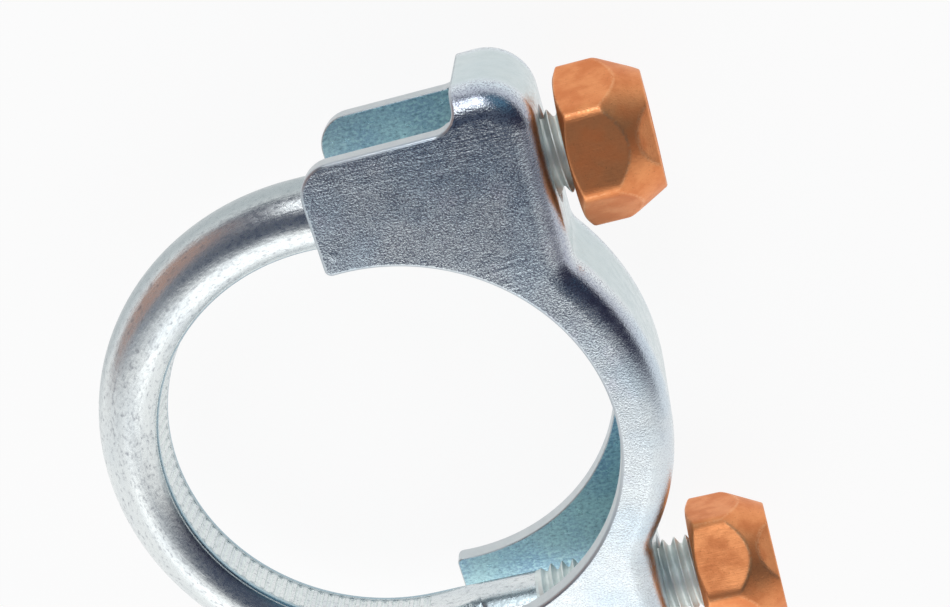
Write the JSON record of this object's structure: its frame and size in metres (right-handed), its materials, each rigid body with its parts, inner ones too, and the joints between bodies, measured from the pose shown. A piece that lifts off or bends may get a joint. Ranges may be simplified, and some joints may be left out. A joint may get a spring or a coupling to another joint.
{
  "type": "exhaust clamp",
  "caption": "U-bolt exhaust clamp with a pressed channel saddle and two crowned lock nuts, for clamping one round pipe over another.",
  "frame": {"origin": "centre of the saddle's pipe seat, on the middle plane of the clamp", "axes": "+Z along the clamped pipe; +X along the U-bolt's legs towards the nuts; +Y from the lower leg to the upper leg"},
  "size_m": [0.0796, 0.0848, 0.021],
  "materials": {
    "zinc_rod": "bright zinc plate, satin",
    "zinc_sheet": "blue-passivated zinc plate over pressed sheet steel",
    "coppered_nut": "copper-plated steel, satin"
  },
  "bodies": {
    "u_bolt": {"u_bolt": "zinc_rod"},
    "saddle": {"saddle": "zinc_sheet"},
    "upper_nut": {"upper_nut": "coppered_nut"},
    "lower_nut": {"lower_nut": "coppered_nut"}
  },
  "joints": [
    {"name": "saddle_travel", "type": "slide", "parent": "u_bolt", "child": "saddle", "axis": [1, 0, 0], "range_m": [-0.012, 0]},
    {"name": "upper_nut_turn", "type": "hinge", "parent": "saddle", "child": "upper_nut", "pos_m": [0.0277, 0.03, 0], "axis": [1, 0, 0], "range_deg": [-2881, 0]},
    {"name": "lower_nut_turn", "type": "hinge", "parent": "saddle", "child": "lower_nut", "pos_m": [0.0298, -0.03, 0], "axis": [1, 0, 0], "range_deg": [-2881, 0]}
  ],
  "couplings": [
    {"joint": "upper_nut_turn", "follows": "saddle_travel", "rad_per_m": 4188.8},
    {"joint": "lower_nut_turn", "follows": "saddle_travel", "rad_per_m": 4188.8}
  ]
}
